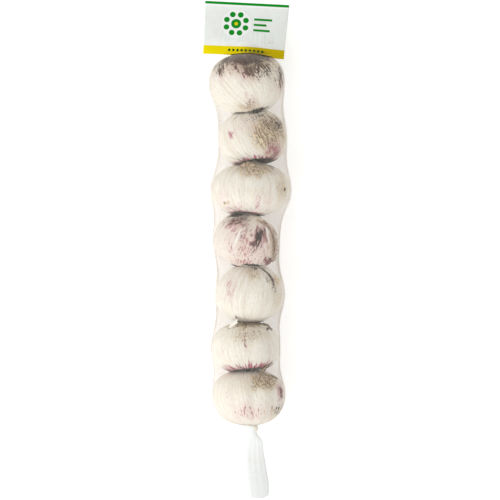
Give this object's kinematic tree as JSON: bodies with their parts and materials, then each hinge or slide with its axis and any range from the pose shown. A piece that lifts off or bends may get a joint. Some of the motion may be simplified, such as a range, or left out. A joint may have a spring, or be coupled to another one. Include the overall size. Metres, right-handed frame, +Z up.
{
  "type": "garlic in a net sleeve",
  "caption": "Long net sleeve of garlic bulbs stacked end to end, with a folded film header at one end and a knotted net tail at the other, lying flat.",
  "frame": {"origin": "centre of the bounding box in plan, on the surface that the pack lies on", "axes": "+Y along the sleeve towards the header, +X to the right as printed, +Z up from the surface"},
  "size_m": [0.0645, 0.3692, 0.0522],
  "materials": {
    "netting": "fine white knitted thread, satin",
    "garlic_skin": "papery cream skin with fine veins, purple streaks and traces of soil, matt",
    "printed_film": "thin printed film with a green edge and a yellow band, soft gloss"
  },
  "bodies": {
    "root": {"net_of_bulbs": "netting", "header_film": "printed_film"}
  },
  "joints": []
}
